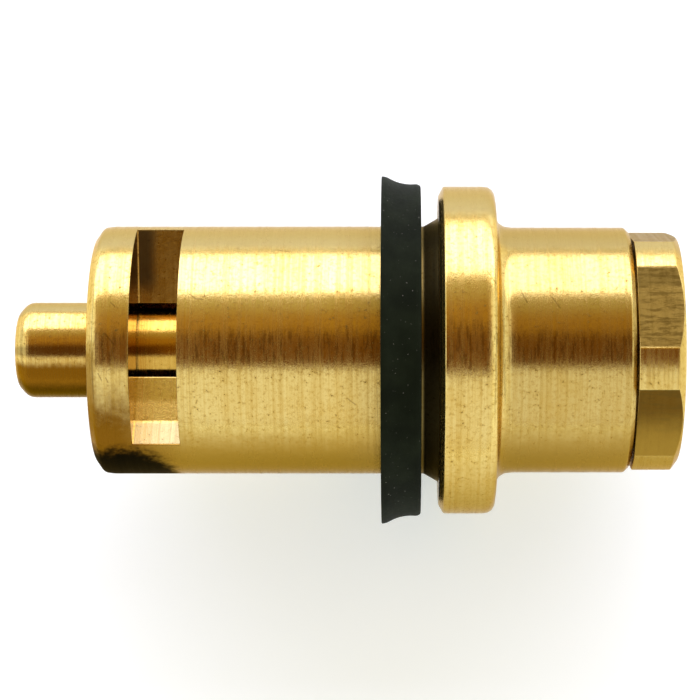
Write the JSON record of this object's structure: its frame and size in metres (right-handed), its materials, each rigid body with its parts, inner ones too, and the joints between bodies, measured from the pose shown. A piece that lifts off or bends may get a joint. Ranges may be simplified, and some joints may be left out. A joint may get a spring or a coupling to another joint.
{
  "type": "diverter valve cartridge",
  "caption": "Flanged brass diverter valve cartridge with a spring-returned push rod, slotted guide barrel, rubber sealing ring and hexagon end plug.",
  "frame": {"origin": "on the cartridge's axis, in the plane of the flange's nose-side face, where the cartridge seats in its valve block", "axes": "+X along the axis from the nose pin to the hexagon plug; +Z is the direction the side slot is cut from; +Y completes the right-handed frame"},
  "size_m": [0.0642, 0.034, 0.034],
  "materials": {
    "brass": "fine turned, slightly stained",
    "rod_brass": "smooth turned",
    "steel": "pressed",
    "spring_steel": "drawn",
    "plastic": "turned white plastic",
    "seal_rubber": "smooth moulded",
    "gasket_rubber": "matt moulded, dusty"
  },
  "bodies": {
    "cartridge": {"valve_body": "brass", "end_plug": "brass", "gland_washer_front": "steel", "rod_seal_front": "seal_rubber", "gland_spacer": "plastic", "rod_seal_rear": "seal_rubber", "gland_washer_rear": "steel", "gland_circlip": "spring_steel", "return_spring": "spring_steel", "spring_rear_seat": "steel", "plug_o_ring": "seal_rubber", "stem_seal_washer": "steel", "stem_seal": "seal_rubber", "stem_guide_bush": "plastic", "flange_gasket": "gasket_rubber"},
    "plunger": {"plunger_rod": "rod_brass", "spring_front_seat": "steel", "rod_e_clip": "spring_steel"}
  },
  "joints": [
    {"name": "plunger_slide", "type": "slide", "parent": "cartridge", "child": "plunger", "axis": [1, 0, 0], "range_m": [0, 0.0055], "stiffness_N_per_m": 1500, "springref_m": -0.006, "deforming": ["return_spring"]}
  ]
}
